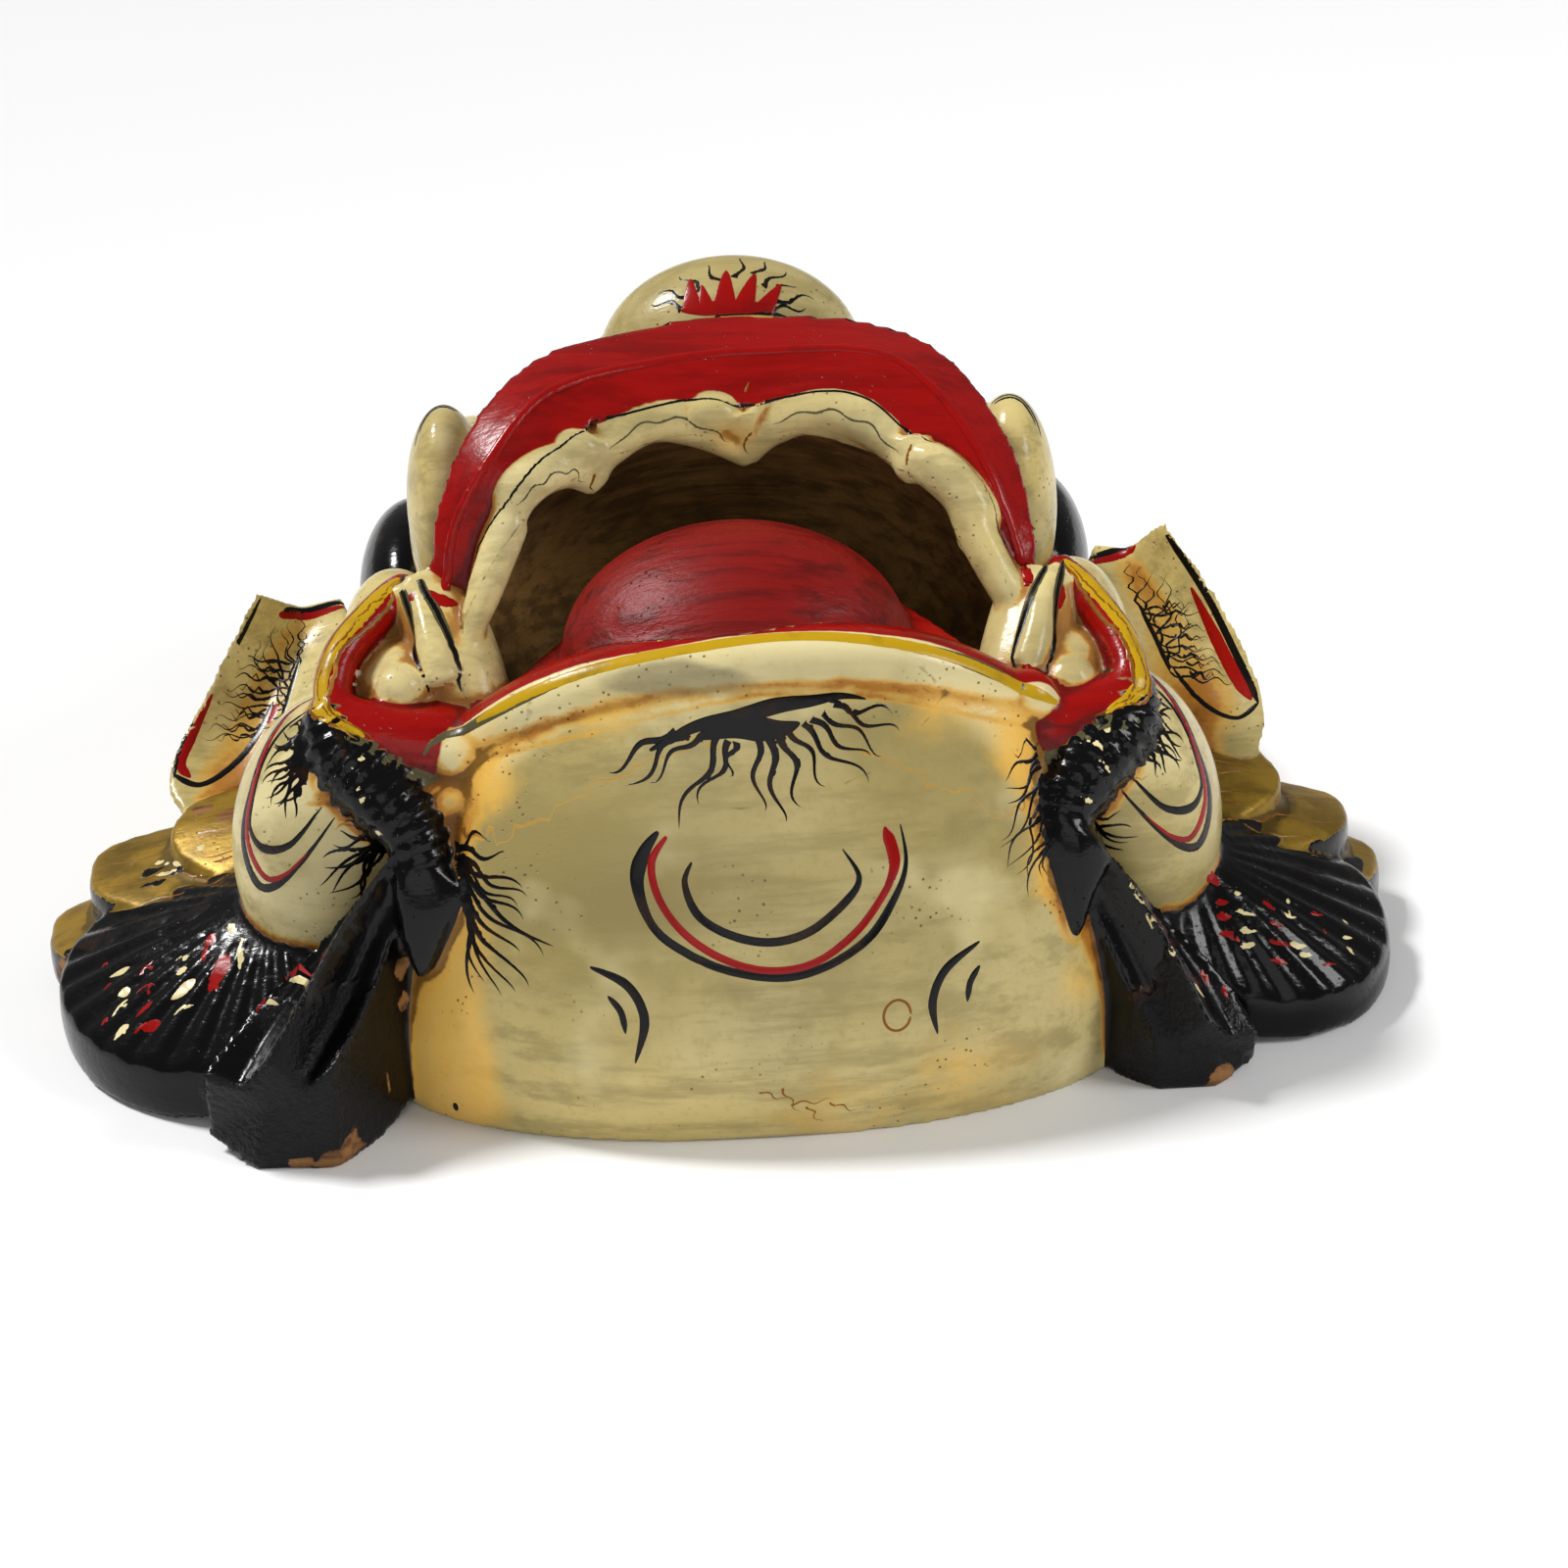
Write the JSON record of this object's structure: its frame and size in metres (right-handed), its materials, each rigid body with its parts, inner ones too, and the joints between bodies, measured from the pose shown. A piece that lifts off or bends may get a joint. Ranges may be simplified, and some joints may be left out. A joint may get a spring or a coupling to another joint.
{
  "type": "carved barong mask",
  "caption": "Painted wooden barong mask: gaping fanged mouth with tongue, broad chin, ball cheeks, ears, gilt lobes and locks of hair, hollow behind.",
  "frame": {"origin": "middle of the footprint, on the surface that the mask lies on", "axes": "+X across the face towards the ear at the right of a front view, +Y from the chin up to the forehead, +Z out of the face"},
  "size_m": [0.3836, 0.338, 0.184],
  "materials": {
    "painted_wood": "aged glossy paint"
  },
  "bodies": {
    "root": {"mask": "painted_wood"}
  },
  "joints": []
}
